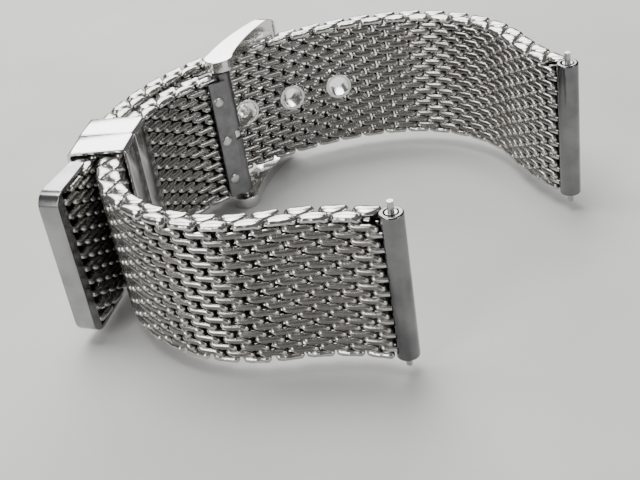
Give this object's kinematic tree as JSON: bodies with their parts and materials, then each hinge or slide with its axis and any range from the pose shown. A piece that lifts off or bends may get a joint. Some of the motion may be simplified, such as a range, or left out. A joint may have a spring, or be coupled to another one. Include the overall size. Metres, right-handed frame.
{
  "type": "mesh watch band",
  "caption": "Woven steel mesh watch band closed in its wrist loop, with a riveted clip, tang buckle, two keepers, eyeleted holes and sprung lug bars.",
  "frame": {"origin": "middle of the band's box, on the surface that its lower edge stands on", "axes": "+Z across the band's width, up as it stands on edge; -Y towards the open side where the watch head sits; +X towards the long strand's side"},
  "size_m": [0.0696, 0.056, 0.0246],
  "materials": {
    "woven_wire": "bright drawn wire",
    "clip_plate": "dark polished",
    "spring_wire": "drawn",
    "bar_steel": "turned",
    "tube_steel": "polished",
    "rivet_steel": "polished",
    "polished_steel": "polished"
  },
  "bodies": {
    "buckle_end": {"short_mesh_keeper": "woven_wire", "short_mesh_clip": "woven_wire", "long_mesh_keeper": "woven_wire", "long_mesh_buckle": "woven_wire", "buckle_clip": "clip_plate", "clip_rivets": "rivet_steel", "fixed_keeper": "polished_steel", "hole_eyelets": "polished_steel"},
    "short_link_1": {"short_mesh_1": "woven_wire"},
    "short_link_2": {"short_mesh_2": "woven_wire"},
    "short_link_3": {"short_mesh_3": "woven_wire"},
    "short_link_4": {"short_mesh_4": "woven_wire", "end_tube_12": "tube_steel"},
    "long_link_1": {"long_mesh_1": "woven_wire", "free_hole_eyelet": "polished_steel"},
    "long_link_2": {"long_mesh_2": "woven_wire"},
    "long_link_3": {"long_mesh_3": "woven_wire"},
    "long_link_4": {"long_mesh_4": "woven_wire"},
    "long_link_5": {"long_mesh_5": "woven_wire", "end_tube_6": "tube_steel"},
    "tail": {"tail_mesh": "woven_wire", "tail_tip": "polished_steel"},
    "sliding_keeper": {"sliding_keeper": "polished_steel"},
    "bar_12": {"bar_12_barrel": "bar_steel", "bar_12_spring": "spring_wire"},
    "bar_12_upper_tip": {"bar_12_upper_tip": "bar_steel"},
    "bar_12_lower_tip": {"bar_12_lower_tip": "bar_steel"},
    "bar_6": {"bar_6_barrel": "bar_steel", "bar_6_spring": "spring_wire"},
    "bar_6_upper_tip": {"bar_6_upper_tip": "bar_steel"},
    "bar_6_lower_tip": {"bar_6_lower_tip": "bar_steel"},
    "buckle_bar": {"buckle_bar_barrel": "bar_steel", "buckle_bar_spring": "spring_wire"},
    "buckle_bar_upper_tip": {"buckle_bar_upper_tip": "bar_steel"},
    "buckle_bar_lower_tip": {"buckle_bar_lower_tip": "bar_steel"},
    "buckle_frame": {"buckle_frame": "polished_steel"},
    "buckle_tang": {"buckle_tang": "polished_steel"}
  },
  "joints": [
    {"name": "short_mesh_hinge_1", "type": "hinge", "parent": "buckle_end", "child": "short_link_1", "pos_m": [-0.0269, 0.01039, 0.0123], "axis": [0, 0, 1], "range_deg": [-15, 0.5]},
    {"name": "short_mesh_hinge_2", "type": "hinge", "parent": "short_link_1", "child": "short_link_2", "pos_m": [-0.03002, 0.00141, 0.0123], "axis": [0, 0, 1], "range_deg": [-15, 1]},
    {"name": "short_mesh_hinge_3", "type": "hinge", "parent": "short_link_2", "child": "short_link_3", "pos_m": [-0.0286, -0.008, 0.0123], "axis": [0, 0, 1], "range_deg": [-15, 1.5]},
    {"name": "short_mesh_hinge_4", "type": "hinge", "parent": "short_link_3", "child": "short_link_4", "pos_m": [-0.02329, -0.01593, 0.0123], "axis": [0, 0, 1], "range_deg": [-5, 10]},
    {"name": "long_mesh_hinge_1", "type": "hinge", "parent": "buckle_end", "child": "long_link_1", "pos_m": [0.02098, 0.01722, 0.0123], "axis": [0, 0, 1], "range_deg": [-8, 13]},
    {"name": "long_mesh_hinge_2", "type": "hinge", "parent": "long_link_1", "child": "long_link_2", "pos_m": [0.02906, 0.00908, 0.0123], "axis": [0, 0, 1], "range_deg": [-5, 13]},
    {"name": "long_mesh_hinge_3", "type": "hinge", "parent": "long_link_2", "child": "long_link_3", "pos_m": [0.03284, 0.00034, 0.0123], "axis": [0, 0, 1], "range_deg": [-1.5, 15]},
    {"name": "long_mesh_hinge_4", "type": "hinge", "parent": "long_link_3", "child": "long_link_4", "pos_m": [0.03223, -0.00915, 0.0123], "axis": [0, 0, 1], "range_deg": [-1.5, 15]},
    {"name": "long_mesh_hinge_5", "type": "hinge", "parent": "long_link_4", "child": "long_link_5", "pos_m": [0.02859, -0.01586, 0.0123], "axis": [0, 0, 1], "range_deg": [-9.5, 6]},
    {"name": "tail_hinge", "type": "hinge", "parent": "buckle_end", "child": "tail", "pos_m": [-0.02496, 0.0178, 0.0123], "axis": [0, 0, 1], "range_deg": [-6, 6]},
    {"name": "sliding_keeper_slide", "type": "slide", "parent": "buckle_end", "child": "sliding_keeper", "axis": [-0.849, -0.5284, 0], "range_m": [0, 0.0012]},
    {"name": "buckle_frame_hinge", "type": "hinge", "parent": "buckle_end", "child": "buckle_frame", "pos_m": [0.00361, 0.01913, 0.0123], "axis": [0, 0, 1], "range_deg": [-1.5, 0]},
    {"name": "buckle_tang_hinge", "type": "hinge", "parent": "buckle_end", "child": "buckle_tang", "pos_m": [0.00361, 0.01913, 0.0123], "axis": [0, 0, 1], "range_deg": [0, 2]},
    {"name": "bar_12_spin", "type": "hinge", "parent": "short_link_4", "child": "bar_12", "pos_m": [-0.01829, -0.02651, 0.0123], "axis": [0, 0, 1], "continuous": true},
    {"name": "bar_12_upper_tip_push", "type": "slide", "parent": "bar_12", "child": "bar_12_upper_tip", "axis": [0, 0, 1], "range_m": [-0.00145, 0], "stiffness_N_per_m": 800, "springref_m": 0.0005, "deforming": ["bar_12_spring"]},
    {"name": "bar_12_lower_tip_push", "type": "slide", "parent": "bar_12", "child": "bar_12_lower_tip", "axis": [0, 0, -1], "range_m": [-0.00145, 0], "stiffness_N_per_m": 800, "springref_m": 0.0005},
    {"name": "bar_6_spin", "type": "hinge", "parent": "long_link_5", "child": "bar_6", "pos_m": [0.02335, -0.02634, 0.0123], "axis": [0, 0, 1], "continuous": true},
    {"name": "bar_6_upper_tip_push", "type": "slide", "parent": "bar_6", "child": "bar_6_upper_tip", "axis": [0, 0, 1], "range_m": [-0.00145, 0], "stiffness_N_per_m": 800, "springref_m": 0.0005, "deforming": ["bar_6_spring"]},
    {"name": "bar_6_lower_tip_push", "type": "slide", "parent": "bar_6", "child": "bar_6_lower_tip", "axis": [0, 0, -1], "range_m": [-0.00145, 0], "stiffness_N_per_m": 800, "springref_m": 0.0005},
    {"name": "buckle_bar_spin", "type": "hinge", "parent": "buckle_end", "child": "buckle_bar", "pos_m": [0.00361, 0.01913, 0.0123], "axis": [0, 0, 1], "continuous": true},
    {"name": "buckle_bar_upper_tip_push", "type": "slide", "parent": "buckle_bar", "child": "buckle_bar_upper_tip", "axis": [0, 0, 1], "range_m": [-0.00145, 0], "stiffness_N_per_m": 800, "springref_m": 0.0005, "deforming": ["buckle_bar_spring"]},
    {"name": "buckle_bar_lower_tip_push", "type": "slide", "parent": "buckle_bar", "child": "buckle_bar_lower_tip", "axis": [0, 0, -1], "range_m": [-0.00145, 0], "stiffness_N_per_m": 800, "springref_m": 0.0005}
  ]
}
